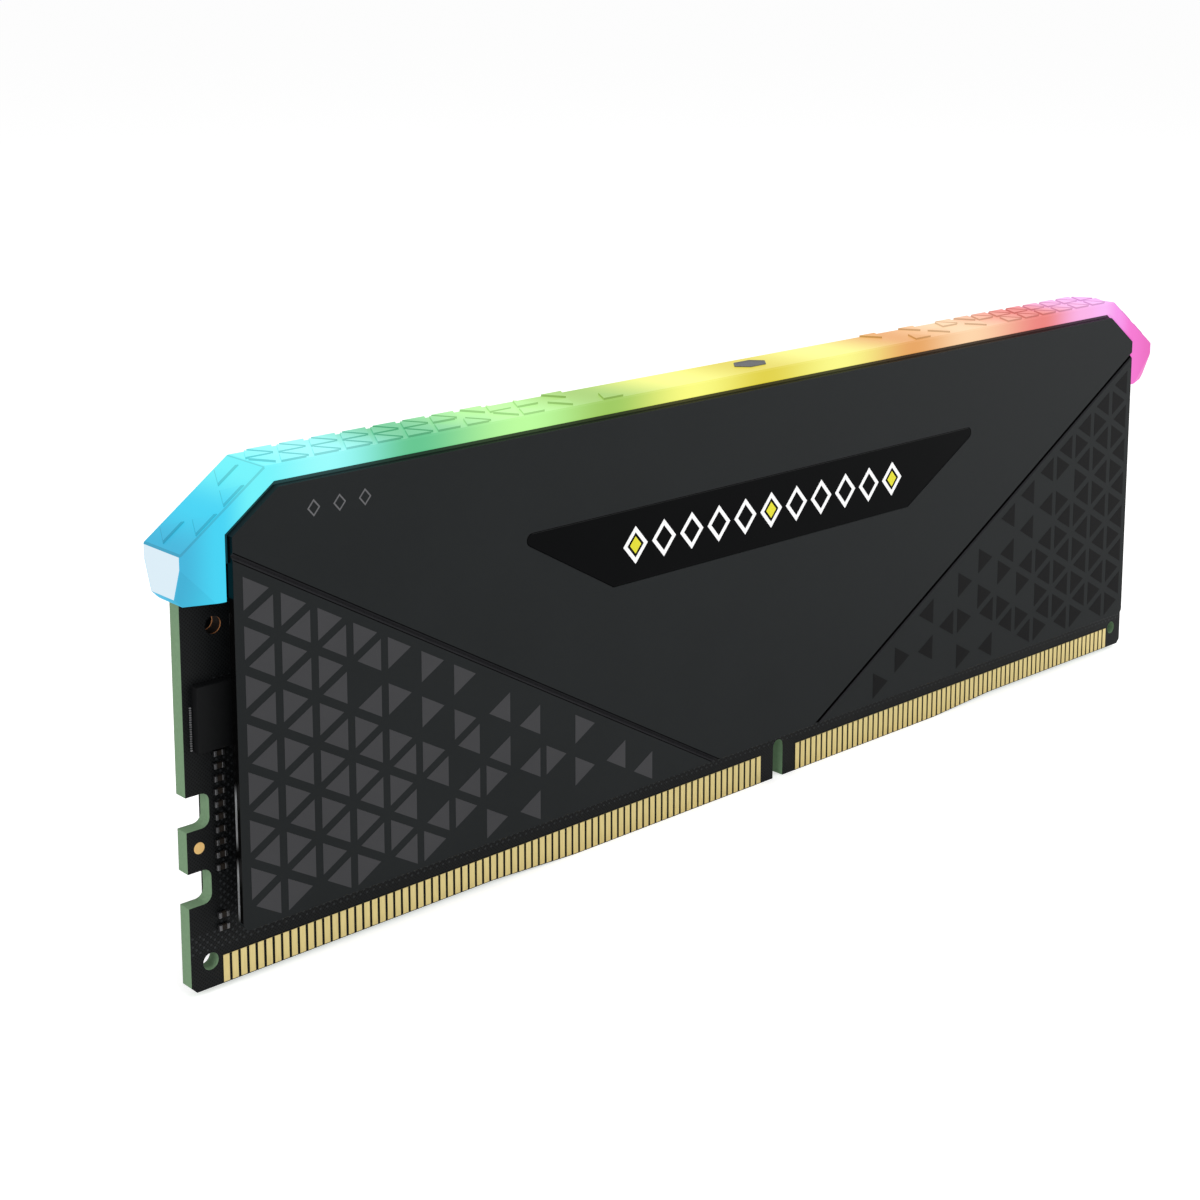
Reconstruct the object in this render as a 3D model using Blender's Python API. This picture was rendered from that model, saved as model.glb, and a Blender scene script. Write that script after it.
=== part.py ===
"""Desktop memory module with two heatspreader plates and a light bar.

The board stands on its card edge. X runs along the board, Y through its thickness and Z up.
The front of the module faces -Y, and the first contact is at the -X end.
The origin is the centre of the card edge's lowest face.
"""

import bmesh
import bpy
from math import atan, cos, degrees, floor, pi, radians, sin, sqrt, tan
from mathutils import Matrix, Vector

MM = 0.001

# Board
BOARD_LENGTH = 133.35 * MM
BOARD_THICKNESS = 1.4 * MM
MODULE_HEIGHT = 44.5 * MM
BOARD_BELOW_TOP = 4.0 * MM
EDGE_STEP = 0.5 * MM
EDGE_HIGH_LEFT = 32.25 * MM
EDGE_HIGH_RIGHT = 26.3 * MM
EDGE_RAMP = 10.2 * MM
EDGE_CORNER = 0.5 * MM
KEY_OFFSET = 4.25 * MM
KEY_WIDTH = 1.5 * MM
KEY_HEIGHT = 4.1 * MM
LATCH_NOTCHES = ((8.0 * MM, 11.0 * MM), (14.6 * MM, 17.6 * MM))
NOTCH_DEPTH = 2.2 * MM
NOTCH_RADIUS = 0.75 * MM
CORNER_HOLE_RADIUS = 0.75 * MM
CORNER_HOLE_IN = 1.9 * MM
CORNER_HOLE_UP = 2.83 * MM
UPPER_HOLE_RADIUS = 0.75 * MM
UPPER_HOLE_IN = 3.1 * MM
UPPER_HOLE_BELOW_LEG = 2.4 * MM

# Contacts
CONTACT_PITCH = 0.85 * MM
CONTACT_WIDTH = 0.60 * MM
CONTACT_TOP = 3.0 * MM
CONTACT_BUS = 0.3 * MM
CONTACT_THICKNESS = 0.05 * MM
CONTACT_ABOVE_EDGE = 0.1 * MM
CONTACT_FROM_KEY = 2.975 * MM
CONTACT_FROM_END = 3.35 * MM

# Gap between pieces that rest on each other
SEAT = 0.05 * MM

# Chips and small parts on the board
CHIPS_PER_SIDE = 8
CHIP_WIDTH = 7.5 * MM
CHIP_HEIGHT = 11.0 * MM
CHIP_THICKNESS = 1.0 * MM
CHIP_CENTRE_UP = 17.0 * MM
CHIP_FROM_PLATE_END = 7.55 * MM
MEMORY_SETTINGS_CHIP = (2.0 * MM, 3.0 * MM, 0.75 * MM)
CONTROLLER_WIDTH = 4.0 * MM
CONTROLLER_HEIGHT = 5.6 * MM
CONTROLLER_THICKNESS = 0.9 * MM
CONTROLLER_FROM_END = 0.55 * MM
CONTROLLER_TOP = 27.0 * MM
CONTROLLER_TO_LEG = 0.3 * MM
CAPACITOR_WIDTH = 1.0 * MM
CAPACITOR_HEIGHT = 0.5 * MM
CAPACITOR_THICKNESS = 0.35 * MM
CAPACITOR_FROM_END = 3.1 * MM
CAPACITOR_BELOW_CONTROLLER = 0.6 * MM
CAPACITOR_PITCH = 1.1 * MM
CAPACITORS_IN_COLUMN = 10
CAPACITORS_LOW = 2
CAPACITOR_LOW_GAP = 3.1 * MM

# Thermal pads
PAD_THICKNESS = 0.55 * MM
PAD_MARGIN = 0.5 * MM

# Heatspreader plates
PLATE_THICKNESS = 0.8 * MM
PLATE_FROM_BOARD_END = 3.575 * MM
PLATE_BOTTOM = 5.67 * MM
PLATE_CORNER_X = 4.55 * MM
PLATE_CORNER_Z = 3.4 * MM
PLATE_FOOT_RADIUS = 0.75 * MM
GROOVE_ANGLE = radians(30)
GROOVE_BELOW_TOP = 5.0 * MM
GROOVE_WIDTH = 0.6 * MM
GROOVE_DEPTH = 0.3 * MM

# Nameplate in each heatspreader plate, and the label in the rear one
NAMEPLATE_WIDTH = 64.4 * MM
NAMEPLATE_HEIGHT = 7.09 * MM
NAMEPLATE_BELOW_TOP = 9.08 * MM
NAMEPLATE_THICKNESS = 0.25 * MM
NAMEPLATE_ANGLE = radians(30)
NAMEPLATE_TIP_RADIUS = 0.6 * MM
LABEL_WIDTH = 40.0 * MM
LABEL_HEIGHT = 11.0 * MM
LABEL_BELOW_NAMEPLATE = 1.6 * MM
LABEL_THICKNESS = 0.12 * MM
LABEL_RECESS = 0.2 * MM

# Light bar
BAR_PAST_BOARD = 1.0 * MM
BAR_ABOVE_PLATE = 1.75 * MM
BAR_IN_FROM_PLATE_FACE = 0.4 * MM
BAR_TO_PLATE = 0.35 * MM
BAR_CORNER_X = 8.1 * MM
BAR_CORNER_Z = 5.9 * MM
LEG_LENGTH = 10.5 * MM
LEG_CHAMFER = 0.75 * MM
LEG_FACET = Vector((3.25 * MM, 1.25 * MM, 3.4 * MM))
TONGUE_LENGTH = 7.5 * MM
TONGUE_WALL = 0.45 * MM
BAR_ROOF = 1.5 * MM
CAVITY_FROM_BAR_END = 9.2 * MM
BOARD_CLEARANCE = 0.15 * MM

# Raised triangles on the bar, counted inwards from the ridge where the end slope starts.
# "back" and "front" have a side on that edge of the bar, and the others point to it.
RELIEF_HEIGHT = 0.2 * MM
RELIEF_GAP = 0.45 * MM
RELIEF_FROM_RIDGE = 1.375 * MM
RELIEF_LEFT = {
    "back": (0.5, 1.5, 2.5, 3.5, 4.5, 5.5, 6.5, 7.5, 10.5),
    "to_back": (0, 1, 2, 3, 4, 5, 6, 8, 9),
    "to_front": (0, 1, 2, 3, 4, 5, 7, 8, 10),
    "front": (0.5, 1.5, 2.5, 3.5, 4.5, 5.5, 6.5, 8.5, 11.5),
}
RELIEF_RIGHT = {
    "back": (0.5, 1.5, 2.5, 3.5, 4.5, 5.5, 6.5, 7.5, 9.5, 11.5),
    "to_back": (0, 1, 2, 3, 4, 5, 6, 8),
    "to_front": (0, 1, 2, 3, 4, 5, 7, 9),
    "front": (0.5, 1.5, 2.5, 3.5, 4.5, 5.5, 10.5),
}
RELIEF_SLOPE = {"to_back": (-1, -3), "front": (-1.5, -2.5)}

# Light sources under the bar, and the badge on it
LIGHTS = 6
LIGHT_WIDTH = 3.2 * MM
LIGHT_HEIGHT = 2.0 * MM
LIGHT_THICKNESS = 1.0 * MM
LIGHT_BELOW_BOARD_TOP = 0.5 * MM
LIGHT_FROM_CAVITY_END = 3.5 * MM
BADGE_WIDTH = 4.4 * MM
BADGE_DEPTH = 2.4 * MM
BADGE_THICKNESS = 0.12 * MM

# Worked out from the values above
half_board = BOARD_LENGTH / 2
face = BOARD_THICKNESS / 2
chip_face = face + SEAT + CHIP_THICKNESS
plate_inner = chip_face + SEAT + PAD_THICKNESS + SEAT
plate_outer = plate_inner + PLATE_THICKNESS
half_plate = half_board - PLATE_FROM_BOARD_END
plate_top = MODULE_HEIGHT - BAR_ABOVE_PLATE
board_top = MODULE_HEIGHT - BOARD_BELOW_TOP
bar_face = plate_outer - BAR_IN_FROM_PLATE_FACE
half_bar = half_board + BAR_PAST_BOARD
ridge = half_bar - BAR_CORNER_X
leg_bottom = MODULE_HEIGHT - LEG_LENGTH
slope_rise = BAR_CORNER_Z / BAR_CORNER_X
cavity_top = MODULE_HEIGHT - BAR_ROOF
half_cavity = half_bar - CAVITY_FROM_BAR_END
tongue_face = plate_inner - SEAT


def clear_scene():
    for old in list(bpy.data.objects):
        bpy.data.objects.remove(old, do_unlink=True)


def material(name, colour, roughness, metallic=0.0):
    made = bpy.data.materials.new(name)
    made.use_nodes = True
    shader = made.node_tree.nodes["Principled BSDF"]
    shader.inputs["Base Color"].default_value = (*colour, 1.0)
    shader.inputs["Roughness"].default_value = roughness
    shader.inputs["Metallic"].default_value = metallic
    return made


def arc(centre, radius, start, end, steps=4):
    """Points on a round corner, from one angle in degrees to another."""
    angles = [radians(start + (end - start) * i / steps) for i in range(steps + 1)]
    return [Vector((centre[0] + radius * cos(a), centre[1] + radius * sin(a))) for a in angles]


def grown(outline, distance):
    """An anticlockwise outline with each side moved outwards, or inwards if distance is negative."""
    moved = []
    for i, here in enumerate(outline):
        before = (here - outline[i - 1]).normalized()
        after = (outline[(i + 1) % len(outline)] - here).normalized()
        out_before = Vector((before.y, -before.x))
        out_after = Vector((after.y, -after.x))
        reach = distance / (1 + out_before.dot(out_after))
        moved.append(here + (out_before + out_after) * reach)
    return moved


def both_sides(right):
    """A closed outline, symmetric about Z, from the points of its right half from bottom to top."""
    return right + [Vector((-p.x, p.y)) for p in reversed(right)]


def extruded(outline, start, end):
    """A bmesh prism with its outline in X and Z, from Y start to Y end."""
    shape = bmesh.new()
    corners = [shape.verts.new((p.x, start, p.y)) for p in outline]
    shape.faces.new(corners)
    made = bmesh.ops.extrude_face_region(shape, geom=shape.faces[:])
    moved = [part for part in made["geom"] if isinstance(part, bmesh.types.BMVert)]
    bmesh.ops.translate(shape, verts=moved, vec=(0, end - start, 0))
    bmesh.ops.recalc_face_normals(shape, faces=shape.faces[:])
    return shape


def node(name, shape, finish):
    mesh = bpy.data.meshes.new(name)
    shape.to_mesh(mesh)
    shape.free()
    made = bpy.data.objects.new(name, mesh)
    bpy.context.scene.collection.objects.link(made)
    if finish:
        mesh.materials.append(finish)
    return made


def prism(name, outline, start, end, finish):
    return node(name, extruded(outline, start, end), finish)


def box(name, size, centre, finish):
    shape = bmesh.new()
    place = Matrix.Translation(centre) @ Matrix.Diagonal((*size, 1.0))
    bmesh.ops.create_cube(shape, size=1.0, matrix=place)
    return node(name, shape, finish)


def tool(made):
    """Marks an object as a helper for a Boolean, which isn't part of the module."""
    made.hide_render = True
    made.display_type = "WIRE"
    return made


def combine(target, other, operation):
    step = target.modifiers.new(other.name, "BOOLEAN")
    step.operation = operation
    step.solver = "EXACT"
    step.object = tool(other)


def edge_height(x):
    """Height of the card edge's lower face: low in the middle and a step higher at both ends."""
    past_left = -half_board + EDGE_HIGH_LEFT + EDGE_RAMP - x
    past_right = x - (half_board - EDGE_HIGH_RIGHT - EDGE_RAMP)
    past = max(past_left, past_right, 0)
    return min(EDGE_STEP, past / EDGE_RAMP * EDGE_STEP)


def board_outline():
    lower = [Vector((-half_board + EDGE_CORNER, EDGE_STEP))]
    for x in (EDGE_HIGH_LEFT, EDGE_HIGH_LEFT + EDGE_RAMP):
        lower.append(Vector((x - half_board, edge_height(x - half_board))))
    key_radius = KEY_WIDTH / 2
    key_middle = (KEY_OFFSET, KEY_HEIGHT - key_radius)
    lower.append(Vector((KEY_OFFSET - key_radius, 0)))
    lower += arc(key_middle, key_radius, 180, 0, 8)
    lower.append(Vector((KEY_OFFSET + key_radius, 0)))
    for x in (EDGE_HIGH_RIGHT + EDGE_RAMP, EDGE_HIGH_RIGHT):
        lower.append(Vector((half_board - x, edge_height(half_board - x))))
    lower.append(Vector((half_board - EDGE_CORNER, EDGE_STEP)))
    right = [Vector((half_board, EDGE_STEP + EDGE_CORNER))]
    inner = half_board - NOTCH_DEPTH
    for low, high in LATCH_NOTCHES:
        right.append(Vector((half_board, low)))
        right += arc((inner + NOTCH_RADIUS, low + NOTCH_RADIUS), NOTCH_RADIUS, 270, 180)
        right += arc((inner + NOTCH_RADIUS, high - NOTCH_RADIUS), NOTCH_RADIUS, 180, 90)
        right.append(Vector((half_board, high)))
    right += board_shoulder()
    left = [Vector((-p.x, p.y)) for p in reversed(right)]
    return lower + right + left


def board_shoulder():
    """The board's top right corner, cut parallel to the bar's end slope."""
    wall = BAR_ROOF + BOARD_CLEARANCE
    below_slope = wall * sqrt(1 + slope_rise**2)
    shoulder = MODULE_HEIGHT - BAR_CORNER_Z + BAR_PAST_BOARD * slope_rise - below_slope
    across = (board_top - shoulder) / slope_rise
    return [Vector((half_board, shoulder)), Vector((half_board - across, board_top))]


def plate_outline():
    foot = Vector((half_plate - PLATE_FOOT_RADIUS, PLATE_BOTTOM + PLATE_FOOT_RADIUS))
    right = arc(foot, PLATE_FOOT_RADIUS, 270, 360)
    right.append(Vector((half_plate, plate_top - PLATE_CORNER_Z)))
    right.append(Vector((half_plate - PLATE_CORNER_X, plate_top)))
    return both_sides(right)


def nameplate_outline():
    """A long plate whose ends slope in towards the bottom, with round tips at the upper corners."""
    top = plate_top - NAMEPLATE_BELOW_TOP
    tip = NAMEPLATE_WIDTH / 2 - NAMEPLATE_TIP_RADIUS
    sharp_corner = tip + NAMEPLATE_TIP_RADIUS / tan(NAMEPLATE_ANGLE / 2)
    lower_corner = sharp_corner - NAMEPLATE_HEIGHT / tan(NAMEPLATE_ANGLE)
    right = [Vector((lower_corner, top - NAMEPLATE_HEIGHT))]
    start = degrees(NAMEPLATE_ANGLE) - 90
    right += arc((tip, top - NAMEPLATE_TIP_RADIUS), NAMEPLATE_TIP_RADIUS, start, 90, 6)
    return both_sides(right)


def make_board():
    board = prism("circuit_board", board_outline(), -face, face, BOARD)
    holes = []
    for side in (-1, 1):
        holes.append((side * (half_board - CORNER_HOLE_IN), CORNER_HOLE_UP, CORNER_HOLE_RADIUS))
        upper = leg_bottom - UPPER_HOLE_BELOW_LEG
        holes.append((side * (half_board - UPPER_HOLE_IN), upper, UPPER_HOLE_RADIUS))
    shape = bmesh.new()
    for x, z, radius in holes:
        place = Matrix.Translation((x, 0, z)) @ Matrix.Rotation(pi / 2, 4, "X")
        bmesh.ops.create_cone(
            shape,
            cap_ends=True,
            segments=20,
            radius1=radius,
            radius2=radius,
            depth=4 * BOARD_THICKNESS,
            matrix=place,
        )
    combine(board, node("board_holes", shape, None), "DIFFERENCE")


def contact_row(side):
    """Contact centres on one side of the key, from the key to the board's end."""
    start = KEY_OFFSET + side * CONTACT_FROM_KEY
    room = half_board - CONTACT_FROM_END - side * start
    count = floor(room / CONTACT_PITCH + 0.001) + 1
    return sorted(start + side * CONTACT_PITCH * i for i in range(count))


def contact_outline(centres):
    """One row as a comb, with its fingers joined at the top by the strip they are plated from."""
    half = CONTACT_WIDTH / 2
    strip = CONTACT_TOP - CONTACT_BUS
    outline = []
    for x in centres:
        low = edge_height(x) + CONTACT_ABOVE_EDGE
        outline.append(Vector((x - half, strip)))
        outline.append(Vector((x - half, low)))
        outline.append(Vector((x + half, low)))
        outline.append(Vector((x + half, strip)))
    last = outline.pop()
    outline.pop(0)
    outline.append(Vector((last.x, CONTACT_TOP)))
    outline.append(Vector((centres[0] - half, CONTACT_TOP)))
    return outline


def make_contacts():
    for end, side in (("left", -1), ("right", 1)):
        outline = contact_outline(contact_row(side))
        inner = face + SEAT / 2
        outer = inner + CONTACT_THICKNESS
        prism("contacts_front_" + end, outline, -outer, -inner, GOLD)
        prism("contacts_back_" + end, outline, inner, outer, GOLD)


def make_chips():
    room = 2 * (half_plate - CHIP_FROM_PLATE_END) - CHIP_WIDTH
    pitch = room / (CHIPS_PER_SIDE - 1)
    middle = face + SEAT + CHIP_THICKNESS / 2
    size = (CHIP_WIDTH, CHIP_THICKNESS, CHIP_HEIGHT)
    for name, side in (("front", -1), ("back", 1)):
        for i in range(CHIPS_PER_SIDE):
            centre = (i * pitch - room / 2, side * middle, CHIP_CENTRE_UP)
            box(f"memory_chip_{name}_{i + 1}", size, centre, CHIP)
        width = room + CHIP_WIDTH + 2 * PAD_MARGIN
        pad_size = (width, PAD_THICKNESS, CHIP_HEIGHT + 2 * PAD_MARGIN)
        pad_middle = side * (chip_face + SEAT + PAD_THICKNESS / 2)
        box("thermal_pad_" + name, pad_size, (0, pad_middle, CHIP_CENTRE_UP), PAD)


def on_front(name, size, x, z, finish):
    """A small part on the board's front face: size is its width, height and thickness."""
    width, height, thickness = size
    middle = -(face + SEAT + thickness / 2)
    box(name, (width, thickness, height), (x, middle, z), finish)


def make_small_parts():
    on_front("memory_settings_chip", MEMORY_SETTINGS_CHIP, 0, CHIP_CENTRE_UP, CHIP)
    size = (CONTROLLER_WIDTH, CONTROLLER_HEIGHT, CONTROLLER_THICKNESS)
    x = -half_board + CONTROLLER_FROM_END + CONTROLLER_WIDTH / 2
    top = min(CONTROLLER_TOP, leg_bottom - CONTROLLER_TO_LEG)
    on_front("light_controller", size, x, top - CONTROLLER_HEIGHT / 2, CHIP)
    size = (CAPACITOR_WIDTH, CAPACITOR_HEIGHT, CAPACITOR_THICKNESS)
    x = -half_board + CAPACITOR_FROM_END
    z = top - CONTROLLER_HEIGHT - CAPACITOR_BELOW_CONTROLLER
    for i in range(CAPACITORS_IN_COLUMN + CAPACITORS_LOW):
        if i == CAPACITORS_IN_COLUMN:
            z -= CAPACITOR_LOW_GAP
        on_front(f"capacitor_{i + 1:02d}", size, x, z, CAPACITOR)
        z -= CAPACITOR_PITCH


def groove_shape(side):
    """A V cutter along one groove, from the plate's side edge down to its lower edge."""
    shape = bmesh.new()
    reach = 1.0 * MM
    profile = (
        (-GROOVE_WIDTH / 2, 0.0),
        (0.0, -GROOVE_DEPTH),
        (GROOVE_WIDTH / 2, 0.0),
        (GROOVE_WIDTH / 2, reach),
        (-GROOVE_WIDTH / 2, reach),
    )
    start_z = plate_top - GROOVE_BELOW_TOP
    along = Vector((-cos(GROOVE_ANGLE), -sin(GROOVE_ANGLE)))
    across = Vector((-along.y, along.x))
    length = (start_z - PLATE_BOTTOM) / sin(GROOVE_ANGLE)
    ends = []
    for distance in (-2 * reach, length + 2 * reach):
        middle = Vector((half_plate, start_z)) + along * distance
        ring = []
        for sideways, out in profile:
            flat = middle + across * sideways
            ring.append(shape.verts.new((side * flat.x, -(plate_outer + out), flat.y)))
        ends.append(ring)
    for i in range(len(profile)):
        j = (i + 1) % len(profile)
        shape.faces.new((ends[0][i], ends[0][j], ends[1][j], ends[1][i]))
    shape.faces.new(ends[0])
    shape.faces.new(ends[1])
    bmesh.ops.recalc_face_normals(shape, faces=shape.faces[:])
    return shape


def label_outline():
    top = plate_top - NAMEPLATE_BELOW_TOP - NAMEPLATE_HEIGHT - LABEL_BELOW_NAMEPLATE
    low = top - LABEL_HEIGHT
    return both_sides([Vector((LABEL_WIDTH / 2, low)), Vector((LABEL_WIDTH / 2, top))])


def recess(plate, name, outline, depth, turn):
    """Cuts a shallow seat for a thin plate into the plate's outer face."""
    shape = extruded(grown(outline, SEAT), -(plate_outer + MM), -(plate_outer - depth))
    bmesh.ops.rotate(shape, verts=shape.verts[:], matrix=turn)
    combine(plate, node(name, shape, None), "DIFFERENCE")


def make_plates():
    nameplate_inner = plate_outer - NAMEPLATE_THICKNESS
    for name, angle in (("front", 0), ("back", pi)):
        turn = Matrix.Rotation(angle, 3, "Z")
        shape = extruded(plate_outline(), -plate_outer, -plate_inner)
        bmesh.ops.rotate(shape, verts=shape.verts[:], matrix=turn)
        plate = node("heatspreader_" + name, shape, PLATE)
        for side, end in ((-1, "left"), (1, "right")):
            groove = groove_shape(side)
            bmesh.ops.rotate(groove, verts=groove.verts[:], matrix=turn)
            cutter = node(f"groove_{name}_{end}", groove, None)
            combine(plate, cutter, "DIFFERENCE")
        depth = NAMEPLATE_THICKNESS + SEAT
        recess(plate, "nameplate_seat_" + name, nameplate_outline(), depth, turn)
        shape = extruded(nameplate_outline(), -plate_outer, -nameplate_inner)
        bmesh.ops.rotate(shape, verts=shape.verts[:], matrix=turn)
        node("nameplate_" + name, shape, NAMEPLATE)
    recess(plate, "label_seat", label_outline(), LABEL_RECESS, turn)
    label_outer = plate_outer - LABEL_RECESS + SEAT + LABEL_THICKNESS
    prism("rear_label", label_outline(), label_outer - LABEL_THICKNESS, label_outer, LABEL)


def cut_corner(shape, point, normal):
    """Cuts off what lies outside a plane, and closes the cut."""
    everything = shape.verts[:] + shape.edges[:] + shape.faces[:]
    cut = bmesh.ops.bisect_plane(
        shape,
        geom=everything,
        dist=0.001 * MM,
        plane_co=point,
        plane_no=normal,
        clear_outer=True,
    )
    edges = [part for part in cut["geom_cut"] if isinstance(part, bmesh.types.BMEdge)]
    bmesh.ops.holes_fill(shape, edges=edges)


def bar_outline():
    """The bar's full thickness: an arch over the plates, with a leg at each end."""
    inner = grown(plate_outline(), BAR_TO_PLATE)
    shoulder, crown = inner[len(inner) // 2 - 2 : len(inner) // 2]
    outer = [
        Vector((half_bar - LEG_CHAMFER, leg_bottom)),
        Vector((half_bar, leg_bottom + LEG_CHAMFER)),
        Vector((half_bar, MODULE_HEIGHT - BAR_CORNER_Z)),
        Vector((ridge, MODULE_HEIGHT)),
    ]
    inside = [Vector((shoulder.x, leg_bottom)), shoulder, crown]
    mirrored = [Vector((-p.x, p.y)) for p in inside]
    return both_sides(outer) + mirrored + inside[::-1]


def tongue_outline():
    """The thinner part of the bar that reaches down behind the plates."""
    inner = grown(plate_outline(), BAR_TO_PLATE + SEAT)
    shoulder, crown = inner[len(inner) // 2 - 2 : len(inner) // 2]
    low = Vector((shoulder.x, MODULE_HEIGHT - TONGUE_LENGTH))
    return both_sides([low, shoulder, crown])


def relief_triangle(kind, place, side_length):
    """Corners of one raised triangle as (along, across), across running from 0 to the back edge."""
    row = side_length * sqrt(3) / 2
    base, point = {
        "back": (row, 0),
        "to_back": (0, row),
        "to_front": (0, -row),
        "front": (-row, 0),
    }[kind]
    middle = place * side_length
    corners = [
        Vector((middle - side_length / 2, base)),
        Vector((middle + side_length / 2, base)),
        Vector((middle, point)),
    ]
    if (corners[1] - corners[0]).cross(corners[2] - corners[0]) < 0:
        corners.reverse()
    return grown(corners, -RELIEF_GAP / 2)


def add_relief(shape, corners, place):
    """Adds one raised triangle, sunk a little into the bar so that they join."""
    sunk = 2 * RELIEF_HEIGHT
    low = [shape.verts.new(place @ Vector((p.x, p.y, -sunk))) for p in corners]
    high = [shape.verts.new(place @ Vector((p.x, p.y, RELIEF_HEIGHT))) for p in corners]
    shape.faces.new(low[::-1])
    shape.faces.new(high)
    for i in range(3):
        j = (i + 1) % 3
        shape.faces.new((low[i], low[j], high[j], high[i]))


def top_frame(slope):
    """Axes on the bar's top: inwards from the ridge, across to the back, and out of the surface."""
    inwards = (-cos(slope), 0, sin(slope))
    outwards = (sin(slope), 0, cos(slope))
    frame = Matrix((inwards, (0, 1, 0), outwards)).transposed().to_4x4()
    return Matrix.Translation((ridge, 0, MODULE_HEIGHT)) @ frame


def relief_shape():
    """All raised triangles of the bar: two rows of an even triangle lattice along its top."""
    shape = bmesh.new()
    side_length = bar_face / (sqrt(3) / 2)
    first = Matrix.Translation((RELIEF_FROM_RIDGE, 0, 0))
    flat = top_frame(0) @ first
    slope = top_frame(atan(slope_rise)) @ first
    slope_end = -sqrt(BAR_CORNER_X**2 + BAR_CORNER_Z**2) - RELIEF_FROM_RIDGE
    other_end = Matrix.Diagonal((-1, 1, 1, 1))
    for end, places in ((Matrix.Identity(4), RELIEF_RIGHT), (other_end, RELIEF_LEFT)):
        for frame, pattern in ((flat, places), (slope, RELIEF_SLOPE)):
            for kind, counts in pattern.items():
                for count in counts:
                    corners = relief_triangle(kind, count, side_length)
                    if min(p.x for p in corners) > slope_end:
                        add_relief(shape, corners, end @ frame)
    bmesh.ops.recalc_face_normals(shape, faces=shape.faces[:])
    return shape


def board_slot_outline():
    top_corner = [Vector((half_board, leg_bottom - MM))] + board_shoulder()
    return grown(both_sides(top_corner), BOARD_CLEARANCE)


def make_bar():
    shape = extruded(bar_outline(), -bar_face, bar_face)
    for end in (-1, 1):
        for side in (-1, 1):
            point = (end * (half_bar - LEG_FACET.x), side * bar_face, leg_bottom)
            normal = (end / LEG_FACET.x, side / LEG_FACET.y, -1 / LEG_FACET.z)
            cut_corner(shape, point, Vector(normal).normalized())
    bar = node("light_bar", shape, DIFFUSER)
    combine(bar, prism("bar_tongue", tongue_outline(), -tongue_face, tongue_face, None), "UNION")
    combine(bar, node("bar_relief", relief_shape(), None), "UNION")
    half_slot = face + BOARD_CLEARANCE
    slot = prism("board_slot", board_slot_outline(), -half_slot, half_slot, None)
    combine(bar, slot, "DIFFERENCE")
    half_gap = tongue_face - TONGUE_WALL
    size = (2 * half_cavity, 2 * half_gap, cavity_top - leg_bottom)
    cavity = box("light_cavity", size, (0, 0, (cavity_top + leg_bottom) / 2), None)
    combine(bar, cavity, "DIFFERENCE")


def make_lights():
    room = 2 * (half_cavity - LIGHT_FROM_CAVITY_END) - LIGHT_WIDTH
    size = (LIGHT_WIDTH, LIGHT_HEIGHT, LIGHT_THICKNESS)
    z = board_top - LIGHT_BELOW_BOARD_TOP - LIGHT_HEIGHT / 2
    for i in range(LIGHTS):
        on_front(f"light_{i + 1}", size, i * room / (LIGHTS - 1) - room / 2, z, LIGHT)


def make_badge():
    shape = bmesh.new()
    low = MODULE_HEIGHT + SEAT
    place = Matrix.Translation((0, 0, low + BADGE_THICKNESS / 2))
    stretch = Matrix.Diagonal((BADGE_WIDTH / 2, BADGE_DEPTH / sqrt(3), 1, 1))
    bmesh.ops.create_cone(
        shape,
        cap_ends=True,
        segments=6,
        radius1=1,
        radius2=1,
        depth=BADGE_THICKNESS,
        matrix=place @ stretch @ Matrix.Rotation(pi / 2, 4, "Z"),
    )
    node("top_badge", shape, BADGE)


clear_scene()
BOARD = material("board", (0.012, 0.013, 0.015), 0.45)
GOLD = material("contact_gold", (0.62, 0.45, 0.16), 0.28, 1.0)
CHIP = material("chip_black", (0.015, 0.015, 0.016), 0.6)
CAPACITOR = material("capacitor", (0.16, 0.13, 0.11), 0.45)
PAD = material("thermal_pad", (0.28, 0.33, 0.38), 0.85)
PLATE = material("plate_black", (0.03, 0.031, 0.033), 0.5, 0.2)
NAMEPLATE = material("nameplate_gloss", (0.008, 0.009, 0.01), 0.15)
LABEL = material("label", (0.55, 0.56, 0.57), 0.6)
DIFFUSER = material("diffuser", (0.75, 0.8, 0.85), 0.35)
LIGHT = material("light_package", (0.8, 0.78, 0.68), 0.4)
BADGE = material("badge", (0.2, 0.21, 0.23), 0.35, 0.6)
make_board()
make_contacts()
make_chips()
make_small_parts()
make_plates()
make_bar()
make_lights()
make_badge()
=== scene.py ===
# %% [markdown]
# # A memory module with a light bar
#
# This script builds the looks of a desktop memory module. A thin circuit board stands on its
# gold edge, two black metal plates are glued over its chips, and a plastic bar on top spreads
# the light of six small lamps. The CAD model gives every size and place. Here its plain solids
# get softened edges, printed marks and finishes, and the small parts get their real shape.

# %% Load the CAD frame
import math

import bmesh
import bpy
from mathutils import Matrix, Vector


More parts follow.
